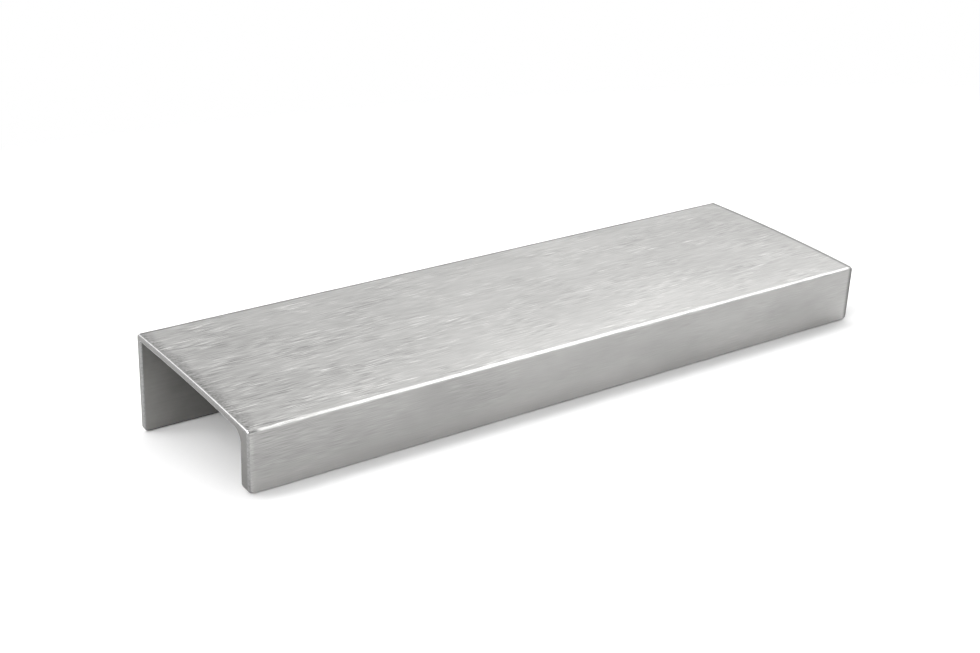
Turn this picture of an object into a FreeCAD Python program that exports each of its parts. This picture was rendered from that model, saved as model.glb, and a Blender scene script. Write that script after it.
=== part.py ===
"""Edge pull for a drawer or door front: one extruded metal profile, cut to length.

The profile is an unequal channel, open below. A wide top plate lies over the front's top edge,
a tall back leg is screwed flat against the rear of the front, and a short, thick lip hangs down
at the front as the grip. All lengths are in millimetres.

Frame: +X runs along the handle and x = 0 is its middle. +Y runs from the lip to the back leg, and
y = 0 is the leg's inner face, which seats on the front. +Z is up, and z = 0 is the screw line.
"""

import FreeCAD, Part
import math
import os

from FreeCAD import Vector

# Overall sizes
length = 150.0
depth = 46.5
leg_height = 21.3
lip_height = 12.7

# Walls
plate_thickness = 1.5
leg_thickness = 1.5
lip_thickness = 3.0

# Rounds of the extruded section
plate_crown = 0.45
fold_radius = 0.8
back_radius = 0.8
lip_fillet = 2.3
leg_fillet = 0.3
lip_toe_radius = 2.2
lip_toe_turn = 70.0

# Work done after the cut to length: the lower corners are rounded, then every free edge is broken
corner_radius = 1.1
edge_break = 0.4

# Screw holes in the back leg, countersunk from the rear
screw_spacing = 96.0
screw_drop = 10.0
screw_hole_radius = 2.25
countersink_radius = 3.3
countersink_angle = 90.0

# How far a cutter runs past the faces that it cuts
clear = 1.0

# Planes, levels and radii that follow from the sizes
x_end = length / 2
y_back = leg_thickness
y_front = y_back - depth
y_lip = y_front + lip_thickness
y_middle = (y_front + y_back) / 2
z_top = screw_drop + plate_thickness
z_leg_toe = z_top - leg_height
z_lip_toe = z_top - lip_height
crown_radius = ((depth / 2) ** 2 + plate_crown ** 2) / (2 * plate_crown)
underside_radius = crown_radius - plate_thickness
z_crown_centre = z_top + plate_crown - crown_radius


def on_crown(radius, y):
    """The point at y on the arc of this radius about the crown's centre."""
    return Vector(0, y, z_crown_centre + math.sqrt(radius ** 2 - (y - y_middle) ** 2))


front_toe = Vector(0, y_front, z_lip_toe)
front_top = on_crown(crown_radius, y_front)
plate_top = on_crown(crown_radius, y_middle)
back_top = on_crown(crown_radius, y_back)
back_toe = Vector(0, y_back, z_leg_toe)
leg_toe = Vector(0, 0, z_leg_toe)
leg_root = on_crown(underside_radius, 0)
plate_underside = on_crown(underside_radius, y_middle)
lip_root = on_crown(underside_radius, y_lip)


def on_lip_toe(turn):
    """The point of the lip's inner toe round at this turn, in degrees, down from the inner face."""
    turn_end = math.radians(lip_toe_turn)
    angle = math.radians(turn)
    y_centre = y_lip - lip_toe_radius
    z_centre = z_lip_toe + lip_toe_radius * math.sin(turn_end)
    return Vector(0, y_centre + lip_toe_radius * math.cos(angle), z_centre - lip_toe_radius * math.sin(angle))


def section_outline():
    """The section in the plane x = 0, with the lip's toe rounded inside and all else sharp."""
    lip_toe_start = on_lip_toe(0)
    lip_toe_end = on_lip_toe(lip_toe_turn)
    return Part.Wire([
        Part.LineSegment(front_toe, front_top).toShape(),
        Part.Arc(front_top, plate_top, back_top).toShape(),
        Part.LineSegment(back_top, back_toe).toShape(),
        Part.LineSegment(back_toe, leg_toe).toShape(),
        Part.LineSegment(leg_toe, leg_root).toShape(),
        Part.Arc(leg_root, plate_underside, lip_root).toShape(),
        Part.LineSegment(lip_root, lip_toe_start).toShape(),
        Part.Arc(lip_toe_start, on_lip_toe(lip_toe_turn / 2), lip_toe_end).toShape(),
        Part.LineSegment(lip_toe_end, front_toe).toShape(),
    ])


def edge_at(shape, point):
    """The shape's edge that passes through the point, or nearest to it."""
    return min(shape.Edges, key=lambda edge: edge.distToShape(Part.Vertex(point))[0])


def extruded_bar():
    """The bar as it leaves the die and is cut to length, with its lengthwise corners rounded."""
    section = Part.Face(section_outline())
    section.translate(Vector(-x_end, 0, 0))
    bar = section.extrude(Vector(length, 0, 0))
    rounds = [
        (front_top, fold_radius),
        (back_top, back_radius),
        (lip_root, lip_fillet),
        (leg_root, leg_fillet),
    ]
    for corner, radius in rounds:
        bar = bar.makeFillet(radius, [edge_at(bar, corner)])
    return bar


def corner_waste(side, y_low, y_high, z_toe):
    """What is filed off one lower corner of a wall: a block less the rod that rounds it."""
    x_axis = side * (x_end - corner_radius)
    width = y_high - y_low + 2 * clear
    reach = corner_radius + clear
    block = Part.makeBox(reach, width, reach)
    block.translate(Vector(min(x_axis, x_axis + side * reach), y_low - clear, z_toe - clear))
    axis_start = Vector(x_axis, y_low - clear, z_toe + corner_radius)
    rod = Part.makeCylinder(corner_radius, width, axis_start, Vector(0, 1, 0))
    return block.cut(rod)


def finished_ends(bar):
    """Rounds the lower corners of lip and leg, then breaks the outline of both end faces."""
    for side in (-1, 1):
        bar = bar.cut(corner_waste(side, y_front, y_lip, z_lip_toe))
        bar = bar.cut(corner_waste(side, 0, y_back, z_leg_toe))
    # Started on both faces of the plate, the round runs on along the smooth outline to both toes.
    starts = [point + Vector(side * x_end, 0, 0) for side in (-1, 1) for point in (plate_top, plate_underside)]
    return bar.makeFillet(edge_break, [edge_at(bar, point) for point in starts])


def screw_hole(x):
    """A countersunk hole through the leg, wide at the rear face."""
    forward = Vector(0, -1, 0)
    sink_depth = (countersink_radius - screw_hole_radius) / math.tan(math.radians(countersink_angle / 2))
    bore = Part.makeCylinder(screw_hole_radius, leg_thickness + 2 * clear, Vector(x, y_back + clear, 0), forward)
    sink = Part.makeCone(countersink_radius, screw_hole_radius, sink_depth, Vector(x, y_back, 0), forward)
    return bore.fuse(sink)


def handle_profile():
    handle = finished_ends(extruded_bar())
    for x in (-screw_spacing / 2, screw_spacing / 2):
        handle = handle.cut(screw_hole(x))
    return handle.Solids[0]


os.makedirs("parts", exist_ok=True)
handle_profile().exportStep("parts/handle_profile.step")
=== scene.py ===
"""The looks of the edge pull: one brushed metal profile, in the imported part's own frame.

Lengths are in metres. +X runs along the handle, +Y from the grip lip to the back leg, +Z up. The wall is
modelled as a folded plate: an outer and an inner skin, each a grid along the handle and along the section,
and the plate's edge between them, which runs round both ends and both toes as one closed path.
"""

import math

import bmesh
import bpy
from mathutils import Matrix, Vector


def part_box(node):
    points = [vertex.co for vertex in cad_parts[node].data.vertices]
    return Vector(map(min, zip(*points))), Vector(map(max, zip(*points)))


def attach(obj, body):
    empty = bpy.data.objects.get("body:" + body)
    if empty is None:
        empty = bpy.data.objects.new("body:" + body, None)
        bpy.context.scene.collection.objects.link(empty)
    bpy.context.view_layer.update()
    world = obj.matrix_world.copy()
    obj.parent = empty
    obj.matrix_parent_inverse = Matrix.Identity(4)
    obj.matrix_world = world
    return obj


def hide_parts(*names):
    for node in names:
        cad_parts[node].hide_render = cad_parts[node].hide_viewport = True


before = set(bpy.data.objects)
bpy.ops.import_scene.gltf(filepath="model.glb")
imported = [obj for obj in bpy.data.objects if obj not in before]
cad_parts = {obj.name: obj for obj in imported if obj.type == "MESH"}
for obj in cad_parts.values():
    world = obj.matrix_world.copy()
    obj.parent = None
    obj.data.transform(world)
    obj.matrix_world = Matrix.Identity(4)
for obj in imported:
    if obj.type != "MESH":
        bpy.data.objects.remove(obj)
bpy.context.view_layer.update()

mm = 0.001
X = Vector((1, 0, 0))
Y = Vector((0, 1, 0))
Z = Vector((0, 0, 1))

# The section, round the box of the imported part
low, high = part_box("handle_profile")
x_end = high.x
y_front = low.y
y_back = high.y
z_leg_toe = low.z
plate_thickness = 1.5 * mm
leg_thickness = 1.5 * mm
lip_thickness = 3.0 * mm
lip_height = 12.7 * mm
plate_crown = 0.45 * mm
fold_radius = 0.8 * mm
back_radius = 0.8 * mm
lip_fillet = 2.3 * mm
leg_fillet = 0.3 * mm
y_lip = y_front + lip_thickness
y_leg = y_back - leg_thickness
z_top = high.z - plate_crown
z_lip_toe = z_top - lip_height
half_depth = (y_back - y_front) / 2
y_middle = (y_back + y_front) / 2
crown_radius = (half_depth ** 2 + plate_crown ** 2) / (2 * plate_crown)
crown_centre = Vector((0, y_middle, high.z - crown_radius))

# Work on the cut bar: rounded lower corners and broken edges. The lip's inner toe is rounded in the die
corner_radius = 1.1 * mm
edge_break = 0.4 * mm
lip_toe_radius = 2.2 * mm
lip_toe_turn = math.radians(70)
lip_toe_rise = lip_toe_radius * math.sin(lip_toe_turn)

# Screw holes in the back leg, countersunk from the rear, on the line z = 0
screw_x = 48 * mm
screw_hole_radius = 2.25 * mm
countersink_radius = 3.3 * mm
countersink_depth = countersink_radius - screw_hole_radius

# The mesh. The skins' grids stop this far inside the plate's edge, and their columns are closest near it
margin = 2.3 * mm
columns_from_end = [margin, 2.8 * mm, 3.4 * mm, 4.2 * mm, 5.2 * mm, 6.6 * mm, 8.6 * mm]
hole_block = 5 * mm
hole_cells = 8
middle_steps = 22
outer_steps = 4
lip_steps = 5
round_steps = 8
crown_steps = 20
upper_leg_steps = 3
lower_leg_steps = 2
break_steps = 6
toe_steps = 9
corner_steps = 8
weld_distance = 1e-4 * mm
sharp_angle = math.radians(30)

# The UV map, which lays the mesh out flat: the outer skin, above it the inner one, then the side in strips
map_gap = 1 * mm
map_border = 2 * map_gap
skin_gap = 3 * map_gap
strip_length = 150 * mm
bore_radius_in_map = 1.6 * mm

# The handle's material slots. The filed edges and the inside carry painted light and shade in their
# materials
skin, cut, filed, inside = range(4)

# Marks on the metal, each kind with its usual length along the bar and its width across it
fine_marks = (3.6 * mm, 0.15 * mm)
scratches = (4.2 * mm, 0.15 * mm)
nicks = (2.2 * mm, 0.14 * mm)
medium_marks = (4.5 * mm, 0.36 * mm)
long_marks = (26 * mm, 0.5 * mm)
clouds = (20 * mm, 8 * mm)
patches = (14 * mm, 6 * mm)
scuff_specks = (0.7 * mm, 0.3 * mm)
scuff_shade_reaches = (3 * mm, 5 * mm)
inner_lines = (30 * mm, 0.4 * mm)
inner_blotches = (7 * mm, 5 * mm)
cut_grains = (0.35 * mm, 0.35 * mm)
cut_clouds = (3 * mm, 3 * mm)
filed_nicks = (0.5 * mm, 0.5 * mm)

# How high the fine marks stand, and how far each seed moves its noise, counted in grains
bump_height = 0.01 * mm
seed_shift = (17.3, 5.1, 11.7)

# Where the metal's tone changes, most of it painted light and shade: how far from an end, an edge or its
# brightest place it starts and is done
light_end = (0.4 * mm, 1.7 * mm)
painted_shade_end = (0.4 * mm, 1.5 * mm)
inner_painted_light_end = (0, 9 * mm)
fold_highlight_end = (1.6 * mm, 3.2 * mm)
along_left_half = (0, x_end)
behind_fold = (0, 18 * mm)
front_face = (1 * mm, 2 * mm)
up_the_lip = (0, lip_height - 5 * mm)
back_shade_line = (1.0 * mm, 1.4 * mm)
top_band = (0.2 * mm, 0.9 * mm)
toe_band = (0.2 * mm, 0.6 * mm)
x_painted_light_peak = -10 * mm
from_painted_light_peak = (15 * mm, 80 * mm)
# How far the scuffs and their band of painted shade reach from the left end
shortest_scuff_shade = 1.0 * mm
longest_scuff_shade = 5.5 * mm

metal_colour = (0.385, 0.382, 0.375)
cut_colour = (0.205, 0.202, 0.196)
filed_and_highlight_colour = (0.95, 0.948, 0.94)
# The inside's dark colour is partly painted shade of the channel
inner_colour = (0.245, 0.242, 0.234)
floor_colour = (0.93, 0.93, 0.93)

# Surroundings: the floor's half width, where it starts to be plain white and is so, and the world's light
floor_reach = 3.0
floor_whitens = (0.16, 0.40)
ambient = 0.13


def spread(start, end, steps):
    """Evenly spaced values from start to end, both included."""
    return [start + (end - start) * i / steps for i in range(steps + 1)]


def section_side(y_lip_side, y_leg_side, lip_round, leg_round, radius, facing):
    """Stations (point, normal) along one side of the wall at x = 0, from the lip's toe to the leg's.

    facing is 1 for the outer side, whose normals leave the crown's centre, and -1 for the inner side.
    """
    def centre_of_round(y, size):
        return Vector((0, y, crown_centre.z + math.sqrt((radius - size) ** 2 - (y - y_middle) ** 2)))

    def arc(centre, size, start, end, steps):
        turns = [Vector((0, math.cos(a), math.sin(a))) for a in spread(start, end, steps)]
        return [(centre + turn * size, turn * facing) for turn in turns]

    lip_centre = centre_of_round(y_lip_side + lip_round, lip_round)
    leg_centre = centre_of_round(y_leg_side - leg_round, leg_round)
    lip_turn = math.atan2(lip_centre.z - crown_centre.z, lip_centre.y - y_middle)
    leg_turn = math.atan2(leg_centre.z - crown_centre.z, leg_centre.y - y_middle)

    lip_rows = spread(z_lip_toe + margin, lip_centre.z, lip_steps)[:-1]
    leg_rows = spread(leg_centre.z, hole_block, upper_leg_steps)[1:-1]
    leg_rows += spread(hole_block, -hole_block, hole_cells)
    leg_rows += spread(-hole_block, z_leg_toe + margin, lower_leg_steps)[1:]
    stations = [(Vector((0, y_lip_side, z)), -Y * facing) for z in lip_rows]
    stations += arc(lip_centre, lip_round, math.pi, lip_turn, round_steps)
    stations += arc(crown_centre, radius, lip_turn, leg_turn, crown_steps)[1:-1]
    stations += arc(leg_centre, leg_round, leg_turn, 0, round_steps)
    stations += [(Vector((0, y_leg_side, z)), Y * facing) for z in leg_rows]
    return stations


def grid_columns():
    """The skins' x stations, closest together near the ends and across the screw holes."""
    near_end = [x_end - distance for distance in reversed(columns_from_end)]
    outer = spread(screw_x + hole_block, near_end[0], outer_steps)[1:-1] + near_end
    right = spread(screw_x - hole_block, screw_x + hole_block, hole_cells) + outer
    middle = spread(-(screw_x - hole_block), screw_x - hole_block, middle_steps)[1:-1]
    return [-x for x in reversed(right)] + middle + right


def round_insets(radius, steps):
    """Distances from the plate's edge at which a quarter round is modelled, the widest first."""
    return [radius * (1 - math.sin(a)) for a in spread(0, math.pi / 2, steps)]


def round_depth(radius, inset):
    """How far a quarter round has cut into the wall at this distance from the plate's edge."""
    along = min(max(radius - inset, 0), radius)
    return radius - math.sqrt(radius ** 2 - along ** 2)


class Plate:
    """Builds the folded plate's mesh."""

    def __init__(self):
        self.mesh = bmesh.new()
        self.columns = grid_columns()
        outer = section_side(y_front, y_back, fold_radius, back_radius, crown_radius, 1)
        inner = section_side(y_lip, y_leg, lip_fillet, leg_fillet, crown_radius - plate_thickness, -1)
        self.rows = len(outer)
        block_top = Vector((0, y_back, hole_block))
        self.block_row = min(range(self.rows), key=lambda j: (outer[j][0] - block_top).length)
        self.uv = self.mesh.loops.layers.uv.new("OFBake")
        self.flat = {}
        self.map_top = map_border
        grids = [self.grid(outer), self.grid(inner)]
        self.fill(grids[0], skin)
        self.fill(grids[1], inside)
        for hole in (-screw_x, screw_x):
            self.drill(grids, hole)
        self.edge(grids, outer, inner)

    def hole_columns(self, hole):
        """The columns at which the cells of this screw hole's block start."""
        first = min(range(len(self.columns)), key=lambda i: abs(self.columns[i] - (hole - hole_block)))
        return range(first, first + hole_cells)

    def grid(self, stations):
        """One skin's vertices by column and row, each with its place in the flat map."""
        along = [self.map_top + margin]
        for (point, _), (following, _) in zip(stations, stations[1:]):
            along.append(along[-1] + (following - point).length)
        self.map_top = along[-1] + margin + skin_gap
        columns = []
        for x in self.columns:
            column = [self.mesh.verts.new(point + X * x) for point, _ in stations]
            for vertex, height in zip(column, along):
                self.flat[vertex] = Vector((x + x_end + map_border, height))
            columns.append(column)
        return columns

    def face(self, corners, slot, flats=None):
        """A face of the corners that differ, at these places in the map or else at the corners' own."""
        places = dict(zip(corners, flats or [self.flat[corner] for corner in corners]))
        face = self.mesh.faces.new(list(places))
        face.material_index = slot
        face.smooth = True
        for loop in face.loops:
            loop[self.uv].uv = places[loop.vert]

    def fill(self, grid, slot):
        """Fills a skin's grid, apart from the blocks of cells that the screw holes take."""
        blocks = [self.hole_columns(-screw_x), self.hole_columns(screw_x)]
        block_rows = range(self.block_row, self.block_row + hole_cells)
        for i in range(len(self.columns) - 1):
            for j in range(self.rows - 1):
                if j in block_rows and any(i in block for block in blocks):
                    continue
                self.face([grid[i][j], grid[i + 1][j], grid[i + 1][j + 1], grid[i][j + 1]], slot)

    def drill(self, grids, hole):
        """Sets a countersunk hole into its block of cells, from the rear face to the inner one."""
        i, j, n = self.hole_columns(hole)[0], self.block_row, hole_cells
        around = [(i + k, j) for k in range(n)] + [(i + n, j + k) for k in range(n)]
        around += [(i + n - k, j + n) for k in range(n)] + [(i, j + n - k) for k in range(n)]
        outer, inner = ([grid[a][b] for a, b in around] for grid in grids)
        turns = [math.atan2(vertex.co.z, vertex.co.x - hole) for vertex in outer]

        def circle(radius, y):
            points = [(hole + radius * math.cos(a), y, radius * math.sin(a)) for a in turns]
            return [self.mesh.verts.new(point) for point in points]

        def flat_circle(radius, grid):
            centre = self.flat[grid[i + n // 2][j + n // 2]]
            return [centre + Vector((math.cos(a), -math.sin(a))) * radius for a in turns]

        rear = circle(countersink_radius, y_back)
        throat = circle(screw_hole_radius, y_back - countersink_depth)
        front = circle(screw_hole_radius, y_leg)
        flat_rear = flat_circle(countersink_radius, grids[0])
        flat_throat = flat_circle(screw_hole_radius, grids[0])
        self.join(outer, rear, skin, None, flat_rear)
        self.join(rear, throat, cut, flat_rear, flat_throat)
        self.join(throat, front, cut, flat_throat, flat_circle(bore_radius_in_map, grids[0]))
        self.join(front, inner, inside, flat_circle(screw_hole_radius, grids[1]), None)

    def join(self, a, b, slot, flat_a=None, flat_b=None):
        """A closed band of faces between two rings of as many vertices."""
        flat_a = flat_a or [self.flat[vertex] for vertex in a]
        flat_b = flat_b or [self.flat[vertex] for vertex in b]
        for k in range(len(a)):
            n = (k + 1) % len(a)
            self.face([a[k], a[n], b[n], b[k]], slot, [flat_a[k], flat_a[n], flat_b[n], flat_b[k]])

    def edge_path(self):
        """The stops round the plate's edge, as (column, row, outward direction, corner).

        corner is None, or at a corner of the plate the directions of the two edges that meet there.
        """
        columns, rows = range(len(self.columns)), range(self.rows)
        last_column, last_row = columns[-1], rows[-1]
        path = [(i, 0, -Z, None) for i in columns]
        path += [(last_column, 0, outward, (-Z, X)) for outward in self.turn(-Z, X)]
        path += [(last_column, j, X, None) for j in rows]
        path += [(last_column, last_row, outward, (X, -Z)) for outward in self.turn(X, -Z)]
        path += [(i, last_row, -Z, None) for i in reversed(columns)]
        path += [(0, last_row, outward, (-Z, -X)) for outward in self.turn(-Z, -X)]
        path += [(0, j, -X, None) for j in reversed(rows)]
        path += [(0, 0, outward, (-X, -Z)) for outward in self.turn(-X, -Z)]
        return path

    @staticmethod
    def turn(start, end):
        """Directions that turn evenly from start to end, which are at right angles."""
        return [start * math.cos(a) + end * math.sin(a) for a in spread(0, math.pi / 2, corner_steps)]

    def edge(self, grids, outer, inner):
        """Rounds both edges of the plate and closes its side between them."""
        break_insets = round_insets(edge_break, break_steps)
        toe_insets = [inset for inset in round_insets(lip_toe_rise, toe_steps) if inset > edge_break]
        outer_side = self.rounded_edge(grids[0], outer, break_insets, skin)
        inner_side = self.rounded_edge(grids[1], inner, toe_insets + break_insets, inside)
        self.close(outer_side, inner_side)

    def rounded_edge(self, grid, stations, insets, slot):
        """Leads a skin round to the plate's side, with a ring of vertices per inset. Gives the last ring."""
        path = self.edge_path()
        ring = [grid[i][j] for i, j, _, _ in path]
        for inset in insets:
            following = [self.edge_vertex(grid, stations, stop, inset, slot) for stop in path]
            self.join(ring, following, filed if inset < edge_break else slot)
            ring = following
        return ring

    def edge_vertex(self, grid, stations, stop, inset, slot):
        """The vertex this far inside the plate's edge, sunk into the wall where a round has cut it away."""
        i, j, outward, corner = stop
        start = grid[i][j]
        directions = corner if corner else (outward,)
        point = start.co + sum(directions, Vector()) * (margin - max(corner_radius, inset))
        point += outward * max(corner_radius - inset, 0)
        depth = round_depth(edge_break, inset)
        if slot == inside and j < self.rows / 2:
            above_toe_round = point.z - z_lip_toe + lip_toe_radius - lip_toe_rise
            depth = max(depth, round_depth(lip_toe_radius, above_toe_round))
        _, normal = stations[j]
        vertex = self.mesh.verts.new(point - normal * depth)
        shift = point + outward * depth - start.co
        self.flat[vertex] = self.flat[start] + Vector((shift.x, -shift.z if j else shift.z))
        return vertex

    def close(self, outer, inner):
        """Joins the two sides all round, laid out in the map as strips one above another."""
        done = 0.0
        for k in range(len(outer)):
            n = (k + 1) % len(outer)
            step = (outer[n].co - outer[k].co).length
            strip, start = divmod(done, strip_length)
            base = Vector((start + map_gap, self.map_top + strip * (lip_thickness + map_gap)))
            end = base + Vector((step, 0))
            heights = [Vector((0, (outer[m].co - inner[m].co).length)) for m in (k, n)]
            corners = [outer[k], outer[n], inner[n], inner[k]]
            self.face(corners, cut, [base, end, end + heights[1], base + heights[0]])
            done += step
        map_size = self.map_top + (done // strip_length + 1) * (lip_thickness + map_gap)
        for face in self.mesh.faces:
            for loop in face.loops:
                loop[self.uv].uv /= map_size


def handle_mesh():
    plate = Plate()
    mesh = bpy.data.meshes.new("handle_skin")
    bmesh.ops.remove_doubles(plate.mesh, verts=plate.mesh.verts, dist=weld_distance)
    inside_holes = [vertex for vertex in plate.mesh.verts if not vertex.link_faces]
    bmesh.ops.delete(plate.mesh, geom=inside_holes, context="VERTS")
    bmesh.ops.recalc_face_normals(plate.mesh, faces=plate.mesh.faces)
    for edge in plate.mesh.edges:
        edge.smooth = len(edge.link_faces) == 2 and edge.calc_face_angle(0) < sharp_angle
    plate.mesh.to_mesh(mesh)
    plate.mesh.free()
    return mesh


def put(name, data):
    piece = bpy.data.objects.new(name, data)
    bpy.context.scene.collection.objects.link(piece)
    return piece


def calculation(operation, swapped=False):
    """A method of Value that adds a Math node. Swapped, it takes the other number first."""
    def method(value, other=0.0):
        first, second = (other, value) if swapped else (value, other)
        return node(value.tree, "Math", {0: first, 1: second}, operation=operation)
    return method


class Value:
    """What a shader node puts out. Arithmetic with it adds the nodes that do the sum."""

    __add__ = __radd__ = calculation("ADD")
    __mul__ = __rmul__ = calculation("MULTIPLY")
    __sub__ = calculation("SUBTRACT")
    __rsub__ = calculation("SUBTRACT", swapped=True)
    __truediv__ = calculation("DIVIDE")
    __abs__ = calculation("ABSOLUTE")
    at_least = calculation("MAXIMUM")
    at_most = calculation("MINIMUM")
    is_below = calculation("LESS_THAN")

    def __init__(self, tree, socket):
        self.tree = tree
        self.socket = socket

    def ramp(self, limits, low=0.0, high=1.0):
        """The value's way between two limits, smooth and held at both sides, as low to high."""
        start, end = limits
        inputs = {"Value": self, "From Min": start, "From Max": end, "To Min": low, "To Max": high}
        return node(self.tree, "MapRange", inputs, interpolation_type="SMOOTHSTEP")

    def into(self, socket):
        self.tree.links.new(self.socket, socket)


def node(tree, kind, inputs=None, output=0, **settings):
    """Adds a shader node and gives one of its outputs.

    inputs gives numbers, or the values of other nodes, by the name or number of the input.
    """
    made = tree.nodes.new("ShaderNode" + kind)
    for name, setting in settings.items():
        setattr(made, name, setting)
    for name, value in (inputs or {}).items():
        if isinstance(value, Value):
            value.into(made.inputs[name])
        else:
            made.inputs[name].default_value = value
    return Value(tree, made.outputs[output])


def noise(tree, marks, detail, seed):
    """Noise about 0.5, in grains of the marks' length along the handle and their width across it."""
    length, width = marks
    scale = (1 / length, 1 / width, 1 / width)
    start = tuple(seed * shift for shift in seed_shift)
    place = node(tree, "TexCoord", output="Object")
    stretched = node(tree, "VectorMath", {0: place, 1: scale}, operation="MULTIPLY")
    moved = node(tree, "VectorMath", {0: stretched, 1: start}, operation="ADD")
    return node(tree, "TexNoise", {"Vector": moved, "Scale": 1.0, "Detail": detail, "Roughness": 0.6})


def axes(tree, output="Object"):
    """The three components of the place on the object, or of its normal there."""
    source = node(tree, "TexCoord", output=output)
    return [node(tree, "SeparateXYZ", {0: source}, output=axis) for axis in range(3)]


def metal(name, colour, roughness, anisotropy):
    """A metal material and its shader. The brushing runs along X."""
    material = bpy.data.materials.new(name)
    material.use_nodes = True
    tree = material.node_tree
    shader = tree.nodes["Principled BSDF"]
    shader.inputs["Metallic"].default_value = 1
    shader.inputs["Base Color"].default_value = (*colour, 1)
    shader.inputs["Roughness"].default_value = roughness
    shader.inputs["Anisotropic"].default_value = anisotropy
    if anisotropy:
        quarter_turn = 0.25
        shader.inputs["Anisotropic Rotation"].default_value = quarter_turn
        node(tree, "CombineXYZ", {"X": 1.0}).into(shader.inputs["Tangent"])
    return material, tree, shader


def tint(shader, colour, tone):
    """Gives the shader its colour, made lighter or darker by the tone."""
    factor = node(tone.tree, "CombineXYZ", {0: tone, 1: tone, 2: tone})
    tinted = node(tone.tree, "VectorMath", {0: colour, 1: factor}, operation="MULTIPLY")
    tinted.into(shader.inputs["Base Color"])


def brushed_metal():
    """The outside, brushed along the bar. Its tone is 1 where the metal is plain.

    The top is brightest a little left of the middle and behind the fold, and off the top the lip's front is
    brightest at its toe: painted light. Off the top all is darker to the left, and the right end and the
    top's
    back edge are dark: painted shade. A painted highlight runs along the fold.
    """
    material, tree, shader = metal("brushed", metal_colour, 0.40, 0.6)
    x, y, z = axes(tree)
    on_top = z.ramp((z_top - fold_radius, z_top - 0.2 * fold_radius))
    off_top = 1 - on_top
    from_left = x_end + x
    from_front = y - y_front
    fine = noise(tree, fine_marks, detail=0, seed=1)
    medium = noise(tree, medium_marks, detail=2, seed=2)

    tone = brush_marks(tree, fine, medium, x, on_top)
    # Painted light: the top is lit brightest a little left of the middle
    tone += on_top * abs(x - x_painted_light_peak).ramp(from_painted_light_peak, 0.05, -0.07)
    # Painted light: the top is lighter towards the fold
    tone += on_top * from_front.ramp(behind_fold, 0.08, 0.0)
    # Painted shade in a band at the top's left end, with dark scuff specks, and light specks on the side
    # below
    tone += end_scuffs_and_shade(tree, from_left, on_top, off_top)
    # Painted highlight along the fold
    tone += fold_painted_highlight(x, from_left, from_front, z)
    # Painted light on the lip's front, lightest at its toe
    tone += off_top * from_front.ramp(front_face, 1.0, 0.0) * (z - z_lip_toe).ramp(up_the_lip, 0.28, -0.07)
    # Painted shade: off the top the metal is darker towards the left
    tone -= off_top * from_left.ramp(along_left_half, 0.1, 0.0)
    # Painted shade along the right end
    tone *= (x_end - x).ramp(painted_shade_end, 0.4, 1.0)
    # Painted shade in a line along the top's back edge
    tone *= off_top.at_least((y_back - y).ramp(back_shade_line, 0.6, 1.0))

    tint(shader, metal_colour, tone)
    medium.ramp((0.3, 0.7), 0.36, 0.44).into(shader.inputs["Roughness"])
    bump = node(tree, "Bump", {"Strength": 0.3, "Distance": bump_height, "Height": fine})
    bump.into(shader.inputs["Normal"])
    return material


def brush_marks(tree, fine, medium, x, on_top):
    """The tone of the brushing: light and dark marks in patches, strongest on the top and to the left."""
    scratched = noise(tree, scratches, detail=0, seed=13).ramp((0.66, 0.84))
    nicked = noise(tree, nicks, detail=0, seed=14).ramp((0.2, 0.32), 1.0, 0.0)
    lines = noise(tree, long_marks, detail=1, seed=3)
    cloudy = noise(tree, clouds, detail=2, seed=4)
    patchy = noise(tree, patches, detail=1, seed=10).ramp((0.35, 0.65), 0.45, 1.4)
    patchy *= x.ramp((-x_end, 0), 1.8, 1.0)
    strength = 0.35 + 0.65 * on_top
    marks = 0.6 * (fine - 0.5) + 0.06 * (medium - 0.5) + 0.5 * strength * scratched
    tone = 1 + marks * patchy * strength - 0.15 * nicked * patchy * on_top
    return tone + 0.14 * (lines - 0.5) * on_top + 0.35 * (cloudy - 0.5)


def end_scuffs_and_shade(tree, from_left, on_top, off_top):
    """Where the left end's edge was filed: dark scuffs over painted shade on the top, light specks below it.
    """
    specks = noise(tree, scuff_specks, detail=2, seed=8)
    uneven = noise(tree, scuff_shade_reaches, detail=1, seed=9)
    reach = shortest_scuff_shade + (longest_scuff_shade - shortest_scuff_shade) * uneven
    scuffed_and_shaded = (1 - from_left / reach).at_least(0.0)
    dark = on_top * scuffed_and_shaded * specks.ramp((0.35, 0.6), 0.6, 0.2)
    light = off_top * from_left.ramp(light_end, 1.0, 0.0) * specks.ramp((0.35, 0.6), 0.0, 0.2)
    return light - dark


def fold_painted_highlight(x, from_left, from_front, z):
    """A painted highlight along the fold, which turns to painted dark reflection at its left end and fades
    to the right.
    """
    fold = from_front.ramp((0.1 * fold_radius, 0.45 * fold_radius), 1.0, 0.0)
    fold *= z.ramp((z_top - 0.65 * fold_radius, z_top - 0.35 * fold_radius))
    fading = x.ramp((-0.5 * x_end, x_end), 0.85, -0.3)
    return fold * from_left.ramp(fold_highlight_end, -0.4, 0.85).at_most(fading)


def inner_metal():
    """The inside of the channel, which the brushing doesn't reach: smooth and blotchy, with faint lines.

    Its colour is darker than the outside's, partly as painted shade, and lighter near both open ends as
    painted light.
    """
    material, tree, shader = metal("inside", inner_colour, 0.38, 0.4)
    x, _, _ = axes(tree)
    lines = noise(tree, inner_lines, detail=2, seed=11)
    blotchy = noise(tree, inner_blotches, detail=3, seed=12)
    tone = 1 + 0.15 * (lines - 0.5) + 0.45 * (blotchy - 0.5)
    # Painted light near both open ends of the channel
    tint(shader, inner_colour, tone * (x_end - abs(x)).ramp(inner_painted_light_end, 1.25, 0.92))
    blotchy.ramp((0.3, 0.7), 0.34, 0.42).into(shader.inputs["Roughness"])
    return material


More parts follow.
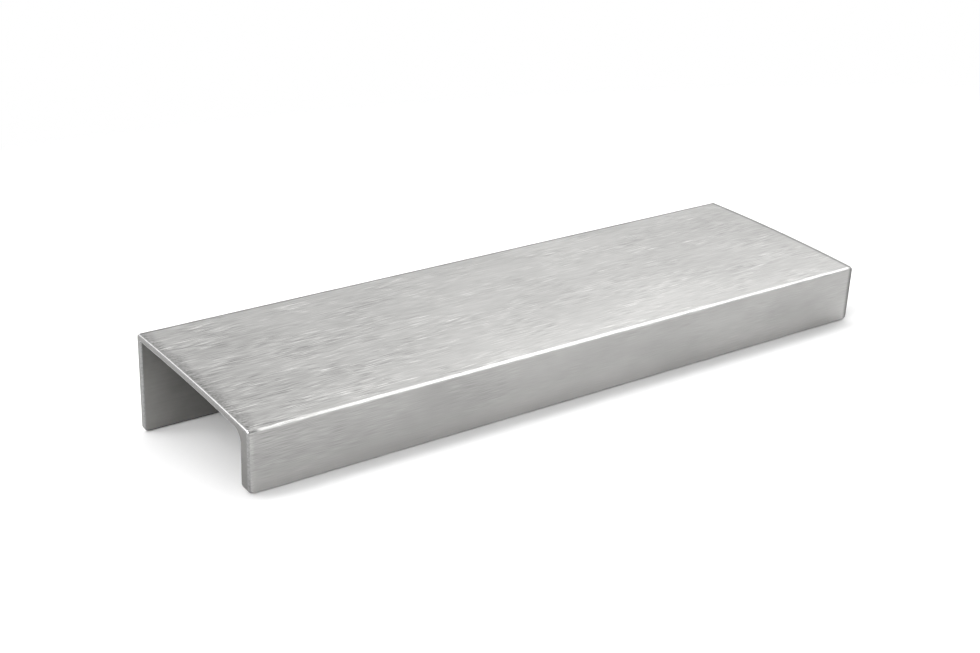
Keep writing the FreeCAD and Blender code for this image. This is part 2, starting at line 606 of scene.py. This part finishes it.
def cut_metal():
    """The sawn and lightly filed end faces: darker and matt."""
    material, tree, shader = metal("cut", cut_colour, 0.42, 0.0)
    grainy = noise(tree, cut_grains, detail=2, seed=5)
    cloudy = noise(tree, cut_clouds, detail=2, seed=6)
    tint(shader, cut_colour, 1 + 0.35 * (grainy - 0.5) + 0.25 * (cloudy - 0.5))
    return material


def filed_edges_painted_light():
    """The broken edges round the cut faces, nicked: a painted highlight along the top, and painted shade
    elsewhere, darkest where they face down.

    Painted light and shade make them brighter at the left end than at the right one, but alike and bright
    under the lip's front.
    facing_up is 1 where the edge looks straight up, 0 where it looks sideways and -1 straight down.
    """
    material, tree, shader = metal("filed", filed_and_highlight_colour, 0.28, 0.0)
    x, y, z = axes(tree)
    _, _, facing_up = axes(tree, "Normal")
    # Painted highlight where the edge along the top faces up
    on_top = (z_top - z).ramp(top_band, 1.0, 0.0)
    on_top *= facing_up.ramp((0.5, 0.65)) * facing_up.ramp((0.85, 0.93), 1.0, 0.0)
    nicked = noise(tree, filed_nicks, detail=2, seed=7).ramp((0.38, 0.58))
    top_tone = 0.74 + 0.12 * nicked
    # Painted shade where the edge faces down
    side_tone = (0.25 + 0.07 * nicked) * facing_up.ramp((-0.5, -0.2), 0.45, 1.0)
    tone = on_top * top_tone + (1 - on_top) * side_tone
    # Painted shade on the edges towards the right end
    tone *= x.ramp((-0.1 * x_end, 0.1 * x_end), 1.0, 0.25)
    # Painted light on the edge along the lip's front toe
    front_toe = (z - z_lip_toe).ramp(toe_band, 1.0, 0.0) * (y - y_front).ramp(front_face, 0.8, 0.0)
    tint(shader, filed_and_highlight_colour, tone.at_least(front_toe))
    return material


handle = put("handle", handle_mesh())
for slot_material in (brushed_metal(), cut_metal(), filed_edges_painted_light(), inner_metal()):
    handle.data.materials.append(slot_material)
weighted = handle.modifiers.new("weighted_normals", "WEIGHTED_NORMAL")
weighted.keep_sharp = True
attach(handle, "root")
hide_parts("handle_profile")

# Floor: the plane that both toes rest on
rests = Vector((0, y_leg - y_front, z_leg_toe - z_lip_toe)).normalized()
floor_mesh = bpy.data.meshes.new("floor")
corners = [X * a * floor_reach + rests * b * floor_reach + Vector((0, y_leg, z_leg_toe))
           for a, b in ((-1, -1), (1, -1), (1, 1), (-1, 1))]
floor_mesh.from_pydata(corners, [], [(0, 1, 2, 3)])
floor = put("floor", floor_mesh)


def seen_directly(tree):
    """1 for what the camera sees, itself or in the metal, and 0 for the light that falls on the floor."""
    seen = node(tree, "LightPath", output="Is Camera Ray")
    for kind in ("Is Glossy Ray", "Is Transmission Ray"):
        seen = seen.at_least(node(tree, "LightPath", output=kind))
    return seen * node(tree, "LightPath", output="Diffuse Depth").is_below(0.5)


def floor_paint():
    """White paint, and away from the handle plain white light. From below the camera sees through it."""
    paint = bpy.data.materials.new("floor_paint")
    paint.use_nodes = True
    tree = paint.node_tree
    shader = tree.nodes["Principled BSDF"]
    shader.inputs["Base Color"].default_value = (*floor_colour, 1)
    shader.inputs["Roughness"].default_value = 0.9
    shader.inputs["Specular IOR Level"].default_value = 0.0
    painted = Value(tree, shader.outputs[0])
    white = node(tree, "Emission", {"Color": (1, 1, 1, 1), "Strength": 1.0})
    clear = node(tree, "BsdfTransparent")

    place = node(tree, "TexCoord", output="Object")
    away = node(tree, "VectorMath", {0: place}, output="Value", operation="LENGTH")
    whitened = seen_directly(tree) * away.ramp(floor_whitens)
    underside = node(tree, "NewGeometry", output="Backfacing")
    see_through = underside * node(tree, "LightPath", output="Is Camera Ray")
    lit = node(tree, "MixShader", {0: whitened, 1: painted, 2: white})
    shown = node(tree, "MixShader", {0: see_through, 1: lit, 2: clear})
    shown.into(tree.nodes["Material Output"].inputs["Surface"])
    return paint


floor_mesh.materials.append(floor_paint())

# World: white to the camera and in reflections, softer as a light
world = bpy.data.worlds.new("studio")
bpy.context.scene.world = world
world.use_nodes = True
background = world.node_tree.nodes["Background"]
background.inputs["Color"].default_value = (1, 1, 1, 1)
seen_directly(world.node_tree).ramp((0, 1), ambient, 1.0).into(background.inputs["Strength"])


def softbox(name, azimuth, elevation, level, size=0.8, distance=1.6, width=None):
    """A lamp that faces the handle, placed by its azimuth from +X and its elevation, in degrees.

    It is square, or this wide and size high. level is how bright it makes a white surface that faces it.
    """
    lamp = bpy.data.lights.new(name, "AREA")
    lamp.shape = "RECTANGLE"
    lamp.size = width or size
    lamp.size_y = size
    lamp.energy = level * (math.pi * distance) ** 2
    a, e = math.radians(azimuth), math.radians(elevation)
    towards = X * math.cos(a) * math.cos(e) + Y * math.sin(a) * math.cos(e) + Z * math.sin(e)
    aimed = towards.to_track_quat("Z", "Y").to_matrix().to_4x4()
    box = put(name, lamp)
    box.visible_camera = False
    box.matrix_world = Matrix.Translation(towards * distance) @ aimed
    return box


# These show in the metal: across its top, at its ends, and along the fold
metal_lamps = [
    softbox("main_softbox", 130, 62, 0.62, size=1.0),
    softbox("left_softbox", 205, 38, 0.42),
    softbox("rear_softbox", 100, 60, 0.20),
    softbox("fold_softbox", 340, 50, 0.5, size=0.45, distance=0.7),
    softbox("sheen_softbox", 20, 48, 0.14, size=0.4, distance=0.6),
]
for lamp in metal_lamps:
    lamp.visible_diffuse = False

# These light the floor: from behind, which draws the short shadow in front of the lip, and from both ends
floor_lamps = [
    softbox("back_softbox", 88, 59, 1.5, size=1.1, width=3.2),
    softbox("side_softbox", 208, 46, 0.32),
    softbox("low_softbox", 184, 22, 0.6),
    softbox("right_softbox", 12, 40, 0.30),
]
for lamp in floor_lamps:
    lamp.visible_glossy = False

# Camera, fitted to the handle's outlines in the photograph
eye = Vector((-186.76, -267.95, 148.51)) * mm
forward = Vector((0.53419, 0.73235, -0.42225)).normalized()
upward = Vector((0.21055, 0.36849, 0.90547))
right = forward.cross(upward).normalized()
camera_data = bpy.data.cameras.new("camera")
camera_data.sensor_width = 36.0
camera_data.lens = 59.59
camera_data.clip_start = 0.01
camera_data.clip_end = 20
camera = put("camera", camera_data)
turned = Matrix((right, right.cross(forward), -forward)).transposed().to_4x4()
camera.matrix_world = Matrix.Translation(eye) @ turned
bpy.context.scene.camera = camera

bpy.context.scene.view_settings.view_transform = "Standard"
